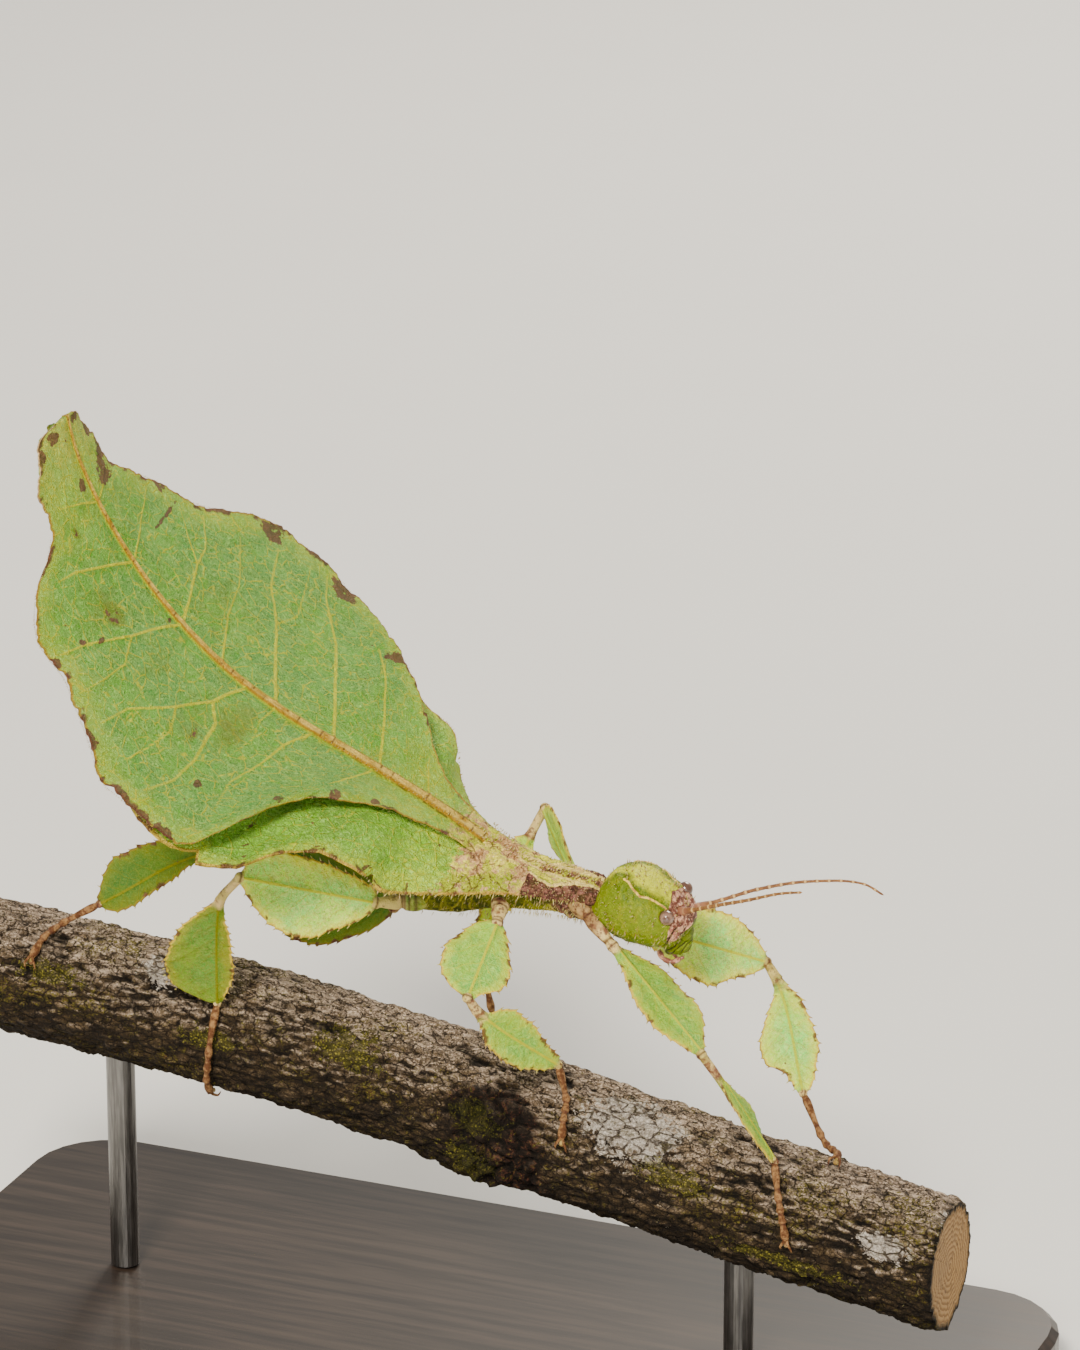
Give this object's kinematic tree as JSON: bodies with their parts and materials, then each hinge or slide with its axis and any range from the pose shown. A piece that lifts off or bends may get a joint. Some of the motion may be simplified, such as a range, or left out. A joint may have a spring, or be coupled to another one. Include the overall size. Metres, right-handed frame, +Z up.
{
  "type": "leaf insect model on a perch",
  "caption": "Still, life-size leaf insect with leaf-shaped wings and lobed legs, gripping a cut length of branch held by a plain display stand.",
  "frame": {"origin": "middle of the underside of the stand's base", "axes": "+X towards the insect's head, +Y to its left side, +Z up"},
  "size_m": [0.116, 0.06, 0.1025],
  "materials": {
    "leaf_green": "leafy green with fine veins and a brown-spotted tan margin",
    "limb_green": "leafy green leg lobes with a yellow rib and a toothed tan edge",
    "thorax_pink": "cream, pink and yellow cuticle with a dark granular patch",
    "head_olive": "woolly olive-green cuticle with tan ridges",
    "joint_tan": "pink-brown and tan jointed cuticle",
    "feeler_brown": "brown with pale rings",
    "eye_brown": "glossy grey-brown",
    "bark": "grey-brown fissured bark with lichen and moss patches",
    "stand_dark": "dark satin finish"
  },
  "bodies": {
    "root": {"stand_base": "stand_dark", "stand_rod_front": "stand_dark", "stand_rod_rear": "stand_dark", "perch_branch": "bark", "prothorax": "thorax_pink", "mesothorax": "thorax_pink", "metathorax": "leaf_green", "abdomen": "leaf_green", "forewing_right": "leaf_green", "forewing_left": "leaf_green", "head": "head_olive", "mouthparts": "head_olive", "eye_right": "eye_brown", "eye_left": "eye_brown", "antenna_right": "feeler_brown", "antenna_left": "feeler_brown", "front_coxa_right": "joint_tan", "front_femur_right": "limb_green", "front_tibia_right": "limb_green", "front_tarsus_right": "joint_tan", "front_coxa_left": "joint_tan", "front_femur_left": "limb_green", "front_tibia_left": "limb_green", "front_tarsus_left": "joint_tan", "middle_coxa_right": "joint_tan", "middle_femur_right": "limb_green", "middle_tibia_right": "limb_green", "middle_tarsus_right": "joint_tan", "middle_coxa_left": "joint_tan", "middle_femur_left": "limb_green", "middle_tibia_left": "limb_green", "middle_tarsus_left": "joint_tan", "hind_coxa_right": "joint_tan", "hind_femur_right": "limb_green", "hind_tibia_right": "limb_green", "hind_tarsus_right": "joint_tan", "hind_coxa_left": "joint_tan", "hind_femur_left": "limb_green", "hind_tibia_left": "limb_green", "hind_tarsus_left": "joint_tan"}
  },
  "joints": []
}
